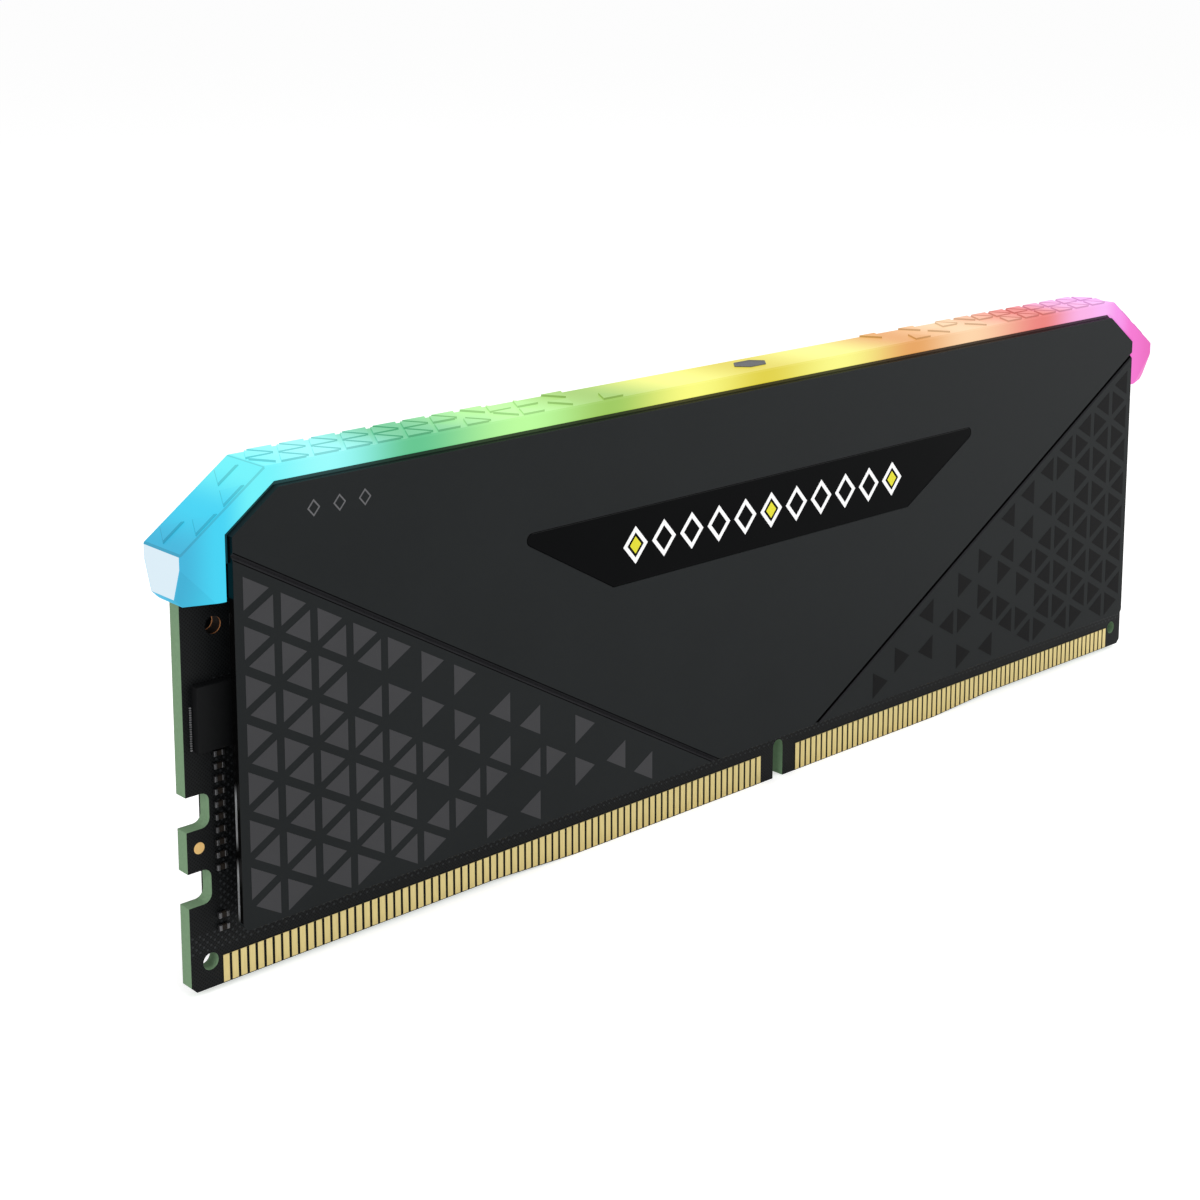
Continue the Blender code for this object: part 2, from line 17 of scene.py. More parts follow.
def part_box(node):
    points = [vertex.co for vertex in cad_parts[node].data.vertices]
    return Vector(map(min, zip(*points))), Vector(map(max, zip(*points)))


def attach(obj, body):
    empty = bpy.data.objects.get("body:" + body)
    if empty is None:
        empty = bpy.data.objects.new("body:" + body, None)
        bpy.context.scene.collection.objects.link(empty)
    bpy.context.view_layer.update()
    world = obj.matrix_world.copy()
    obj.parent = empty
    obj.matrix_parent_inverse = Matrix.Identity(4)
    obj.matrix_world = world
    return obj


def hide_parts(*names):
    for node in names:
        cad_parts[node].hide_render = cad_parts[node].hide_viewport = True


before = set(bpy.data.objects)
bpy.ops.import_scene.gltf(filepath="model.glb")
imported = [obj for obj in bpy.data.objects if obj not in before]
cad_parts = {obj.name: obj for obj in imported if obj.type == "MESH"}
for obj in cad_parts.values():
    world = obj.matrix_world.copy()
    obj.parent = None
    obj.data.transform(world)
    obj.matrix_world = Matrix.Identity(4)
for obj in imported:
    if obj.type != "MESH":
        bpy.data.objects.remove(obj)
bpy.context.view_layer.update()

MM = 0.001

# %% [markdown]
# ## Helpers for shapes
#
# Every piece starts as a bmesh, which is Blender's editable mesh in code. A copy of a CAD solid
# arrives as loose triangles, so its doubles are merged and its flat areas are made whole again
# before any edge is softened. The finished piece rides on the module's only body, "root".


# %% Shape helpers
MERGE_DISTANCE = 0.0005 * MM
NEAR = 0.01 * MM


def merged_copy(node):
    """A bmesh of a CAD node, with its triangles joined and its flat areas made whole."""
    shape = bmesh.new()
    shape.from_mesh(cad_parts[node].data)
    bmesh.ops.remove_doubles(shape, verts=shape.verts[:], dist=MERGE_DISTANCE)
    bmesh.ops.dissolve_limit(
        shape,
        angle_limit=math.radians(1),
        verts=shape.verts[:],
        edges=shape.edges[:],
    )
    return shape


def soften(shape, edges, width, segments=2):
    """Rounds these edges, as a deburred or moulded edge is."""
    bmesh.ops.bevel(
        shape,
        geom=edges,
        offset=width,
        offset_type="OFFSET",
        affect="EDGES",
        segments=segments,
        profile=0.5,
        material=-1,
        clamp_overlap=True,
    )


def sharp_edges(shape, degrees):
    """The edges where two faces meet at more than this angle, on the outside of a corner."""
    limit = math.radians(degrees)
    return [e for e in shape.edges if e.is_manifold and e.calc_face_angle_signed(0) > limit]


def add_block(shape, size, centre):
    """Adds a block with its three sizes along X, Y and Z, and returns its vertices."""
    place = Matrix.Translation(centre) @ Matrix.Diagonal((*size, 1.0))
    return bmesh.ops.create_cube(shape, size=1.0, matrix=place)["verts"]


def add_sheet(shape, outline, start, end):
    """Adds a flat shape, its outline in X and Z, as thick as from Y start to Y end."""
    face = shape.faces.new([shape.verts.new((x, start, z)) for x, z in outline])
    grown = bmesh.ops.extrude_face_region(shape, geom=[face])
    moved = [part for part in grown["geom"] if isinstance(part, bmesh.types.BMVert)]
    bmesh.ops.translate(shape, verts=moved, vec=(0, end - start, 0))
    return moved


def outwards(shape):
    bmesh.ops.recalc_face_normals(shape, faces=shape.faces[:])


def piece(name, shape, finishes, replaced=()):
    """Turns a bmesh into a finished piece of the module."""
    mesh = bpy.data.meshes.new(name)
    shape.to_mesh(mesh)
    shape.free()
    for finish in finishes:
        mesh.materials.append(finish)
    made = bpy.data.objects.new(name, mesh)
    bpy.context.scene.collection.objects.link(made)
    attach(made, "root")
    if replaced:
        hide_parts(*replaced)
    print(f"{name}: {len(mesh.polygons)} faces")
    return made


# %% [markdown]
# ## Helpers for finishes
#
# A finish is a node tree. These two helpers add a node with its inputs in one call, and turn a
# formula into Math nodes, so that each finish below reads like a recipe.


# %% Finish helpers
def add_node(tree, kind, inputs=None, **settings):
    """Adds a node. Each input is a value, or the socket that it reads."""
    made = tree.nodes.new(kind)
    for name, value in settings.items():
        setattr(made, name, value)
    for socket, value in (inputs or {}).items():
        if isinstance(value, bpy.types.NodeSocket):
            tree.links.new(value, made.inputs[socket])
        else:
            made.inputs[socket].default_value = value
    return made


def calculate(tree, operation, *values):
    made = add_node(tree, "ShaderNodeMath", dict(enumerate(values)), operation=operation)
    return made.outputs[0]


def blend(tree, factor, first, second):
    """A colour that goes from first to second as the factor goes from 0 to 1."""
    made = add_node(tree, "ShaderNodeMix", data_type="RGBA")
    sockets = (made.inputs[0], made.inputs[6], made.inputs[7])
    for socket, value in zip(sockets, (factor, first, second)):
        if isinstance(value, bpy.types.NodeSocket):
            tree.links.new(value, socket)
        elif socket.type == "RGBA":
            socket.default_value = (*value, 1.0)
        else:
            socket.default_value = value
    return made.outputs[2]


def place_in_mm(tree, stretch=(1.0, 1.0, 1.0), turn=(0.0, 0.0, 0.0)):
    """Object coordinates in millimetres, stretched or turned for a pattern."""
    here = add_node(tree, "ShaderNodeTexCoord").outputs["Object"]
    scale = [factor / MM for factor in stretch]
    made = add_node(tree, "ShaderNodeMapping", {"Vector": here, "Scale": scale, "Rotation": turn})
    return made.outputs[0]


def axes_of(tree, vector):
    return add_node(tree, "ShaderNodeSeparateXYZ", {0: vector}).outputs


def new_group(name, inputs, outputs):
    """A shader node group. inputs gives each name its value, and outputs each name its kind."""
    tree = bpy.data.node_groups.new(name, "ShaderNodeTree")
    for label, value in inputs.items():
        kind = "NodeSocketFloat" if isinstance(value, float) else "NodeSocketColor"
        made = tree.interface.new_socket(name=label, in_out="INPUT", socket_type=kind)
        made.default_value = value
    for label, kind in outputs.items():
        tree.interface.new_socket(name=label, in_out="OUTPUT", socket_type=kind)
    entry = tree.nodes.new("NodeGroupInput").outputs
    result = tree.nodes.new("NodeGroupOutput").inputs
    return tree, entry, result


def use_group(tree, group, inputs=None):
    return add_node(tree, "ShaderNodeGroup", inputs, node_tree=group).outputs


def new_finish(name, colour=None, roughness=0.5, metallic=0.0, specular=0.5):
    """A material, its tree and its shader, with what is the same all over set on the shader."""
    made = bpy.data.materials.new(name)
    made.use_nodes = True
    tree = made.node_tree
    shader = tree.nodes["Principled BSDF"]
    if colour:
        shader.inputs["Base Color"].default_value = (*colour, 1.0)
    shader.inputs["Roughness"].default_value = roughness
    shader.inputs["Metallic"].default_value = metallic
    shader.inputs["Specular IOR Level"].default_value = specular
    return made, tree, shader


def raise_surface(tree, shader, height, strength, distance=0.05 * MM):
    """Feeds a height pattern to the shader's normal."""
    inputs = {"Height": height, "Strength": strength, "Distance": distance}
    bump = add_node(tree, "ShaderNodeBump", inputs)
    tree.links.new(bump.outputs[0], shader.inputs["Normal"])


def noise(tree, stretch, detail, scale=1.0):
    """A cloudy value from 0 to 1, drawn out across each axis by the stretch."""
    inputs = {"Vector": place_in_mm(tree, stretch), "Scale": scale, "Detail": detail}
    return add_node(tree, "ShaderNodeTexNoise", inputs).outputs["Fac"]


def screen(red, green, blue):
    """A colour as a screen shows it, from 0 to 255, turned into the linear values of nodes."""
    return tuple(((part / 255 + 0.055) / 1.055) ** 2.4 for part in (red, green, blue))


print("screen white is", screen(255, 255, 255))

# %% [markdown]
# ## Patterns that several finishes share
#
# Paint, plastic and epoxy all have a fine grain, and only its size and depth differ. It is one
# node group, built once, which gives a height for the bump and a roughness that wanders a little.

# %% Grain group
GRAIN, entry, result = new_group(
    "fine_grain",
    {"Size": 0.1, "Roughness": 0.5, "Spread": 0.1},
    {"Height": "NodeSocketFloat", "Roughness": "NodeSocketFloat", "Cloud": "NodeSocketFloat"},
)
per_mm = calculate(GRAIN, "DIVIDE", 1.0, entry["Size"])
speckle = add_node(
    GRAIN,
    "ShaderNodeTexNoise",
    {"Vector": place_in_mm(GRAIN), "Scale": per_mm, "Detail": 2.0, "Roughness": 0.6},
).outputs["Fac"]
cloud = noise(GRAIN, (1.0, 1.0, 1.0), 3.0, scale=0.12)
wander = calculate(GRAIN, "SUBTRACT", calculate(GRAIN, "ADD", speckle, cloud), 1.0)
uneven = calculate(GRAIN, "MULTIPLY_ADD", wander, entry["Spread"], entry["Roughness"])
GRAIN.links.new(speckle, result["Height"])
GRAIN.links.new(uneven, result["Roughness"])
GRAIN.links.new(cloud, result["Cloud"])


def grained(tree, shader, size, depth, roughness, spread):
    """Gives a finish its grain, and returns the slow cloud for a colour that varies."""
    grain = use_group(tree, GRAIN, {"Size": size, "Roughness": roughness, "Spread": spread})
    tree.links.new(grain["Roughness"], shader.inputs["Roughness"])
    raise_surface(tree, shader, grain["Height"], depth)
    return grain["Cloud"]


print("groups:", [group.name for group in bpy.data.node_groups])

# %% [markdown]
# ## Camera, floor and light
#
# The camera looks along the module from its left end, a little from above, through a long lens.
# The module stands in a white studio, so the floor is pale and large, the sky is white, and
# soft panels on the left, above and in front of it draw highlights along its edges.

# %% Camera
CAMERA_PLACE = Vector((-151.5, -142.9, 85.4)) * MM
CAMERA_YAW = math.radians(42.54)
CAMERA_PITCH = math.radians(9.71)
CAMERA_LENS = 63.32
CAMERA_SENSOR = 36.0
CAMERA_SHIFT = -0.24
camera_data = bpy.data.cameras.new("camera")
camera_data.lens = CAMERA_LENS
camera_data.sensor_width = CAMERA_SENSOR
camera_data.shift_y = CAMERA_SHIFT
camera_data.clip_start = 1 * MM
camera_data.clip_end = 100.0
camera = bpy.data.objects.new("camera", camera_data)
camera.location = CAMERA_PLACE
camera.rotation_euler = (math.pi / 2 - CAMERA_PITCH, 0, -CAMERA_YAW)
bpy.context.scene.collection.objects.link(camera)
bpy.context.scene.camera = camera
bpy.context.scene.view_settings.view_transform = "Standard"
print("camera at, in mm:", [round(part / MM, 1) for part in CAMERA_PLACE])

# %% Floor
FLOOR_GLOW = 0.5
FLOOR_SIZE = 20.0
floor_shape = bmesh.new()
bmesh.ops.create_grid(floor_shape, x_segments=1, y_segments=1, size=FLOOR_SIZE)
floor_mesh = bpy.data.meshes.new("floor")
floor_shape.to_mesh(floor_mesh)
floor_shape.free()
floor_finish, tree, shader = new_finish("floor_white", (0.8, 0.8, 0.8), 0.9, specular=0.0)
seen = add_node(tree, "ShaderNodeLightPath").outputs["Is Camera Ray"]
tree.links.new(calculate(tree, "MULTIPLY", seen, FLOOR_GLOW), shader.inputs["Emission Strength"])
shader.inputs["Emission Color"].default_value = (1.0, 1.0, 1.0, 1.0)
floor_mesh.materials.append(floor_finish)
floor = bpy.data.objects.new("floor", floor_mesh)
bpy.context.scene.collection.objects.link(floor)
print("floor half side in m:", FLOOR_SIZE)

# %% Light
SKY_LIGHT = 0.6
sky = bpy.data.worlds.new("sky")
bpy.context.scene.world = sky
sky.use_nodes = True
seen = add_node(sky.node_tree, "ShaderNodeLightPath").outputs["Is Camera Ray"]
strength = calculate(sky.node_tree, "MULTIPLY_ADD", seen, 1.0 - SKY_LIGHT, SKY_LIGHT)
sky.node_tree.links.new(strength, sky.node_tree.nodes["Background"].inputs["Strength"])
sky.node_tree.nodes["Background"].inputs["Color"].default_value = (1, 1, 1, 1)


def add_panel(name, place, target, size, power):
    """A soft square light at a place, aimed at a target, both in millimetres."""
    data = bpy.data.lights.new(name, "AREA")
    data.size = size * MM
    data.energy = power
    made = bpy.data.objects.new(name, data)
    made.location = Vector(place) * MM
    aim = (Vector(target) - Vector(place)).normalized()
    made.rotation_euler = aim.to_track_quat("-Z", "Y").to_euler()
    bpy.context.scene.collection.objects.link(made)


add_panel("panel_left", (-330, -90, 110), (-60, 0, 20), 160, 0.4)
add_panel("panel_above", (0, -120, 420), (0, 0, 20), 300, 0.6)
add_panel("panel_right", (300, -260, 160), (30, 0, 20), 220, 0.8)
print("lights:", [light.name for light in bpy.data.lights])

# %% [markdown]
# ## Circuit board
#
# The real board is a sheet of green glass fibre under black solder mask. The mask lies only on
# the two faces, so the sawn edges, notches and holes show the green laminate. The CAD solid has
# the right outline, so it stays, and one finish tells face from edge by how far a point is from
# the board's middle. Under the mask, copper in a crossed hatch stands out a few micrometres.

# %% Board sizes from the frame
board_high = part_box("circuit_board")[1]
half_board = board_high.x
board_face = board_high.y
plate_low, plate_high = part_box("heatspreader_back")
half_plate = plate_high.x
plate_bottom = plate_low.z
plate_top = plate_high.z
plate_inner = plate_low.y
plate_outer = plate_high.y
print("board half length and face in mm:", half_board / MM, board_face / MM)

# %% Hatch group
HATCH_LINE = 0.36
HATCH, entry, result = new_group("copper_hatch", {"Pitch": 0.3}, {"Lines": "NodeSocketFloat"})
x, y, z = axes_of(HATCH, place_in_mm(HATCH))
lines = []
for operation in ("ADD", "SUBTRACT"):
    slanted = calculate(HATCH, operation, x, z)
    phase = calculate(HATCH, "FRACT", calculate(HATCH, "DIVIDE", slanted, entry["Pitch"]))
    lines.append(calculate(HATCH, "LESS_THAN", phase, HATCH_LINE))
either = calculate(HATCH, "MAXIMUM", *lines)
HATCH.links.new(either, result["Lines"])
print("hatch nodes:", len(HATCH.nodes))

# %% Via group
VIAS, entry, result = new_group(
    "via_field", {"Pitch": 0.5, "Size": 0.04}, {"Dots": "NodeSocketFloat"}
)
x, y, z = axes_of(VIAS, place_in_mm(VIAS, turn=(0.0, math.radians(45), 0.0)))
squares = []
for along in (x, z):
    step = calculate(VIAS, "FRACT", calculate(VIAS, "DIVIDE", along, entry["Pitch"]))
    off = calculate(VIAS, "SUBTRACT", step, 0.5)
    squares.append(calculate(VIAS, "MULTIPLY", off, off))
dot = calculate(VIAS, "LESS_THAN", calculate(VIAS, "ADD", *squares), entry["Size"])
VIAS.links.new(dot, result["Dots"])
print("via nodes:", len(VIAS.nodes))

# %% Board mask colour
MASK_DEPTH = 0.02
HATCH_PITCH = 0.34
VIA_PITCH = 0.5
VIA_SIZE = 0.05
VIAS_BY_PARTS = (4.5, 1.7)
VIAS_HEIGHTS = (16.2, 11.0)
VIAS_BY_CONTACTS = (4.6, 0.8)
BOARD, tree, shader = new_finish("board_mask_and_laminate", roughness=0.45, specular=0.12)
x, y, z = axes_of(tree, place_in_mm(tree))
from_middle = calculate(tree, "ABSOLUTE", y)
on_face = calculate(tree, "GREATER_THAN", from_middle, board_face / MM - MASK_DEPTH)
copper = use_group(tree, HATCH, {"Pitch": HATCH_PITCH})["Lines"]
mask_colour = blend(tree, copper, screen(5, 6, 7), screen(23, 25, 26))
from_end = calculate(tree, "SUBTRACT", half_board / MM, calculate(tree, "ABSOLUTE", x))
by_parts = calculate(tree, "COMPARE", from_end, *VIAS_BY_PARTS)
by_parts = calculate(tree, "MULTIPLY", by_parts, calculate(tree, "COMPARE", z, *VIAS_HEIGHTS))
by_contacts = calculate(tree, "COMPARE", z, *VIAS_BY_CONTACTS)
field = calculate(tree, "MAXIMUM", by_parts, by_contacts)
dots = use_group(tree, VIAS, {"Pitch": VIA_PITCH, "Size": VIA_SIZE})["Dots"]
vias = calculate(tree, "MULTIPLY", dots, field)
mask_colour = blend(tree, vias, mask_colour, screen(44, 46, 48))
print("vias from the board's end, in mm:", VIAS_BY_PARTS[0], "+-", VIAS_BY_PARTS[1])

# %% Board edge and upper hole colour
UPPER_HOLE_IN = 3.1 * MM
UPPER_HOLE_UP = 31.6 * MM
UPPER_HOLE_RIM = 0.95 * MM
HOLE_LIP = 0.14
weave = noise(tree, (3.0, 12.0, 3.0), 2.0)
laminate = blend(tree, weave, screen(98, 126, 96), screen(124, 152, 120))
hole_middle = (half_board - UPPER_HOLE_IN) / MM
across = calculate(tree, "SUBTRACT", calculate(tree, "ABSOLUTE", x), hole_middle)
down = calculate(tree, "SUBTRACT", z, UPPER_HOLE_UP / MM)
squares = [calculate(tree, "MULTIPLY", part, part) for part in (across, down)]
near_hole = calculate(tree, "ADD", *squares)
plated = calculate(tree, "LESS_THAN", near_hole, (UPPER_HOLE_RIM / MM) ** 2)
near_face = calculate(tree, "GREATER_THAN", from_middle, board_face / MM - HOLE_LIP)
# Below a thin copper lip, the hole's wall is painted shade, dark brown.
wall = blend(tree, near_face, screen(36, 27, 21), screen(196, 136, 86))
under_mask = blend(tree, plated, laminate, wall)
print("upper hole in mm from the middle:", round(hole_middle, 2))

# %% Board finish
tree.links.new(blend(tree, on_face, under_mask, mask_colour), shader.inputs["Base Color"])
bare = calculate(tree, "SUBTRACT", 1.0, on_face)
tree.links.new(calculate(tree, "MULTIPLY", plated, bare), shader.inputs["Metallic"])
rough = calculate(tree, "MULTIPLY_ADD", on_face, -0.25, 0.7)
tree.links.new(rough, shader.inputs["Roughness"])
raise_surface(tree, shader, calculate(tree, "MULTIPLY", copper, on_face), 0.5, 0.02 * MM)
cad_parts["circuit_board"].data.materials.clear()
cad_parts["circuit_board"].data.materials.append(BOARD)
print("board finish nodes:", len(tree.nodes))

# %% [markdown]
# ## Gold contacts
#
# Each row of contacts is a comb in the CAD model, joined by a strip at the top. On the real card
# edge each finger ends by itself under the solder mask. A cut with bisect_plane takes the strip
# away, the open tops are closed and pulled up to the mask, and all edges are softened a little.

# %% Gold finishes


def gold_finish(name, darker, lighter):
    """Bare plated metal, its shade drawn out along the fingers by sliding in and out."""
    made, tree, shader = new_finish(name, roughness=0.3, metallic=1.0)
    wiped = noise(tree, (9.0, 1.0, 0.6), 4.0)
    tree.links.new(blend(tree, wiped, darker, lighter), shader.inputs["Base Color"])
    grained(tree, shader, 0.08, 0.08, 0.34, 0.1)
    return made


GOLD = gold_finish("hard_gold", screen(236, 213, 142), screen(255, 238, 174))
DOT_GOLD = gold_finish("thin_gold_on_copper", screen(240, 196, 124), screen(252, 210, 140))
print("finishes:", GOLD.name, DOT_GOLD.name)

# %% Contact fingers
FINGER_SOFT = 0.012 * MM
STRIP = 0.3 * MM
CUT_REACH = 0.0001 * MM
for side in ("front", "back"):
    for end in ("left", "right"):
        node = f"contacts_{side}_{end}"
        strip_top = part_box(node)[1].z
        cut = strip_top - STRIP
        shape = merged_copy(node)
        sliced = bmesh.ops.bisect_plane(
            shape,
            geom=shape.verts[:] + shape.edges[:] + shape.faces[:],
            dist=CUT_REACH,
            plane_co=(0, 0, cut),
            plane_no=(0, 0, 1),
            clear_outer=True,
        )
        rims = [part for part in sliced["geom_cut"] if isinstance(part, bmesh.types.BMEdge)]
        bmesh.ops.holes_fill(shape, edges=rims)
        tops = [v for v in shape.verts if v.co.z > cut - NEAR]
        bmesh.ops.translate(shape, verts=tops, vec=(0, 0, STRIP))
        outwards(shape)
        soften(shape, sharp_edges(shape, 45), FINGER_SOFT, 1)
        piece(f"gold_fingers_{side}_{end}", shape, [GOLD], [node])

# %% [markdown]
# ## Heatspreader plates
#
# Each plate is pressed aluminium, 0.8 mm thick, painted a dark grey-black with a very fine tooth.
# The CAD solid has its two grooves and the seat for the nameplate. Here its outer edges are
# rounded with bevel, because the round edge is what catches the light along the plate's end.
# The cut ends are polished and nearly black. Two bright, partly metallic streaks low down on them
# are a painted reflection. The grooves have a finish of their own too: painted light and shade,
# with black lines where their walls are in shade and a lighter grey between.

# %% Plate finish
PLATE, tree, shader = new_finish("painted_plate", roughness=0.5, specular=0.12)
cloud = grained(tree, shader, 0.07, 0.12, 0.5, 0.12)
shade = blend(tree, cloud, screen(20, 23, 24), screen(26, 29, 30))
tree.links.new(shade, shader.inputs["Base Color"])
print("plate finish nodes:", len(tree.nodes))

# %% Plate end finish
STREAK_MIDDLE = 12.3
STREAK_APART = 3.2
STREAK_HALF = 3.0
STREAK_FULL = 0.9
STREAK_WIDTH = 0.34
CUT_END, tree, shader = new_finish("polished_plate_end", roughness=0.2, specular=0.06)
x, y, z = axes_of(tree, place_in_mm(tree))
# The two bright streaks low on each end are a painted reflection, not bare metal.
away = calculate(tree, "ABSOLUTE", calculate(tree, "SUBTRACT", z, STREAK_MIDDLE))
away = calculate(tree, "ABSOLUTE", calculate(tree, "SUBTRACT", away, STREAK_APART))
streak = add_node(
    tree,
    "ShaderNodeMapRange",
    {"Value": away, "From Min": STREAK_HALF, "From Max": STREAK_FULL},
    interpolation_type="SMOOTHSTEP",
).outputs[0]
thin = calculate(tree, "LESS_THAN", calculate(tree, "ABSOLUTE", y), plate_inner / MM + STREAK_WIDTH)
painted_highlight = calculate(tree, "MULTIPLY", streak, thin)
shade = blend(tree, painted_highlight, screen(3, 3, 3), screen(176, 178, 180))
tree.links.new(shade, shader.inputs["Base Color"])
tree.links.new(calculate(tree, "MULTIPLY", painted_highlight, 0.6), shader.inputs["Metallic"])
grained(tree, shader, 0.3, 0.03, 0.2, 0.08)
print("plate end finish nodes:", len(tree.nodes))

# %% Groove finish, with painted light and shade
GROOVE_LIP = 0.08
GROOVE_BOTTOM = 0.14
GROOVE_SHADE, tree, shader = new_finish("groove_painted_shade", roughness=0.8, specular=0.0)
x, y, z = axes_of(tree, place_in_mm(tree))
# Painted shade: a black line at the lip of the left groove and at the bottom of the right one. The
# dark grey between is painted light, the lit part of the V, not wear.
depth = calculate(tree, "SUBTRACT", plate_outer / MM, calculate(tree, "ABSOLUTE", y))
lip_in_shade = calculate(tree, "LESS_THAN", depth, GROOVE_LIP)
bottom_in_shade = calculate(tree, "GREATER_THAN", depth, GROOVE_BOTTOM)
on_left = calculate(tree, "GREATER_THAN", calculate(tree, "MULTIPLY", x, y), 0.0)
cloud = grained(tree, shader, 0.07, 0.1, 0.8, 0.1)
lit_groove_grey = blend(tree, cloud, screen(38, 38, 40), screen(46, 46, 48))
left_shade = blend(tree, lip_in_shade, lit_groove_grey, screen(0, 0, 0))
right_shade = blend(tree, bottom_in_shade, lit_groove_grey, screen(0, 0, 0))
tree.links.new(blend(tree, on_left, right_shade, left_shade), shader.inputs["Base Color"])
print("groove finish nodes:", len(tree.nodes))

# %% Plates
PLATE_SOFT = 0.2 * MM
LEAST_SLANT = 0.1
MOST_SLANT = 0.95


def in_groove(face, middle):
    """True for the slanted walls of a groove, which slant in Y but lie inside the plate's rim."""
    slanted = LEAST_SLANT < abs(face.normal.y) < MOST_SLANT
    inside = abs(middle.x) < half_plate - PLATE_SOFT
    return slanted and inside and plate_bottom + PLATE_SOFT < middle.z < plate_top - PLATE_SOFT


for side in ("front", "back"):
    node = "heatspreader_" + side
    shape = merged_copy(node)
    rim = []
    for edge in sharp_edges(shape, 60):
        middle = (edge.verts[0].co + edge.verts[1].co) / 2
        at_end = abs(middle.x) > half_plate - NEAR
        at_long_edge = middle.z > plate_top - NEAR or middle.z < plate_bottom + NEAR
        if at_end or at_long_edge:
            rim.append(edge)
    soften(shape, rim, PLATE_SOFT, 3)
    for face in shape.faces:
        middle = face.calc_center_median()
        if abs(middle.x) > half_plate - NEAR:
            face.material_index = 1
        elif in_groove(face, middle):
            face.material_index = 2
    piece("plate_" + side, shape, [PLATE, CUT_END, GROOVE_SHADE], [node])

# %% [markdown]
# ## Printed triangles
#
# A pattern of triangles is printed on the plate below each groove, thick near the ends and
# thinning out towards the middle. They lie on one even lattice, so a row number and a column
# number place each of them. The print is a film of ink a hundredth of a millimetre thick. At
# the left it is lighter than the paint as a painted sheen, and at the right darker as painted
# shade.

# %% Print finishes
# One ink in two copies: the lighter one is a painted sheen, the darker one painted shade.
PRINT_PAINTED_SHEEN, tree, shader = new_finish("print_painted_sheen", roughness=0.5, specular=0.15)
cloud = grained(tree, shader, 0.07, 0.12, 0.46, 0.1)
shade = blend(tree, cloud, screen(54, 54, 56), screen(60, 60, 62))
tree.links.new(shade, shader.inputs["Base Color"])
PRINT_PAINTED_SHADE, tree, shader = new_finish("print_painted_shade", roughness=0.5, specular=0.08)
cloud = grained(tree, shader, 0.07, 0.12, 0.55, 0.1)
shade = blend(tree, cloud, screen(10, 10, 11), screen(14, 14, 15))
tree.links.new(shade, shader.inputs["Base Color"])
print("finishes:", PRINT_PAINTED_SHEEN.name, PRINT_PAINTED_SHADE.name)

# %% Triangle lattice
LATTICE_SIDE = 4.133 * MM
LATTICE_GAP = 0.75 * MM
LATTICE_IN = 0.5 * MM
FIRST_ROW_BELOW_TOP = 8.25 * MM
INK = 0.012 * MM
PRINTED_ROWS = (
    range(0, 14),
    range(1, 14),
    range(2, 14),
    (3, 4, 6, 7, 8, 9, 10, 11, 12, 13),
    (4, 6, 8, 9, 10, 11, 12, 13),
    (5, 7, 9, 10, 12, 13),
    (6, 8, 9, 11, 12),
    (8, 10, 11, 13),
    (9, 11, 13),
    (11,),
    (10, 12),
    (12,),
    (13,),
)
column_width = LATTICE_SIDE * math.sqrt(3) / 2
printed_side = LATTICE_SIDE - LATTICE_GAP * math.sqrt(3)
printed_width = printed_side * math.sqrt(3) / 2


def add_printed_triangle(shape, column, row):
    """One triangle of the left side. It points right where row and column are both even or odd."""
    line = -half_plate + LATTICE_IN + column * column_width
    middle = plate_top - FIRST_ROW_BELOW_TOP - row * LATTICE_SIDE / 2
    base = line + LATTICE_GAP / 2
    point = base + printed_width
    if (row - column) % 2:
        base = line + column_width - LATTICE_GAP / 2
        point = base - printed_width
    corners = [
        (base, middle - printed_side / 2),
        (point, middle),
        (base, middle + printed_side / 2),
    ]
    add_sheet(shape, corners, -plate_outer + INK, -plate_outer - INK)


def turned_round(shape, side):
    """Turns what was made for the front plate round to the back plate."""
    if side == "back":
        bmesh.ops.rotate(shape, verts=shape.verts[:], matrix=Matrix.Rotation(math.pi, 3, "Z"))


for side in ("front", "back"):
    for end, finish in (("left", PRINT_PAINTED_SHEEN), ("right", PRINT_PAINTED_SHADE)):
        shape = bmesh.new()
        for column, rows in enumerate(PRINTED_ROWS):
            for row in rows:
                add_printed_triangle(shape, column, row)
        if end == "right":
            bmesh.ops.scale(shape, verts=shape.verts[:], vec=(-1, 1, 1))
        turned_round(shape, side)
        outwards(shape)
        piece(f"printed_triangles_{side}_{end}", shape, [finish])

# %% [markdown]
# ## Nameplates
#
# A gloss black strip lies flush in each plate, with sloped ends. It carries a plain ornament, a
# band of small diamond outlines, with a yellow heart in every fifth of them. Each mark starts as
# one diamond face. Insetting it gives the outline, and insetting it again gives the heart. It
# could also be cut from two outlines each, but then its stroke would not stay even.

# %% Nameplate finishes
GLOSS, tree, shader = new_finish("gloss_black", roughness=0.12, specular=0.035)
cloud = grained(tree, shader, 0.4, 0.02, 0.12, 0.04)
shade = blend(tree, cloud, screen(3, 4, 5), screen(7, 8, 9))
tree.links.new(shade, shader.inputs["Base Color"])


def ink_finish(name, colour, darker):
    made, tree, shader = new_finish(name, roughness=0.5, specular=0.3)
    cloud = grained(tree, shader, 0.06, 0.08, 0.5, 0.1)
    tree.links.new(blend(tree, cloud, darker, colour), shader.inputs["Base Color"])
    return made


WHITE_INK = ink_finish("ink_white", (0.95, 0.95, 0.95), (0.8, 0.8, 0.8))
YELLOW_INK = ink_finish("ink_yellow", screen(225, 220, 40), screen(205, 198, 30))
GREY_INK = ink_finish("ink_grey", screen(98, 98, 100), screen(80, 80, 82))
print("inks:", WHITE_INK.name, YELLOW_INK.name, GREY_INK.name)

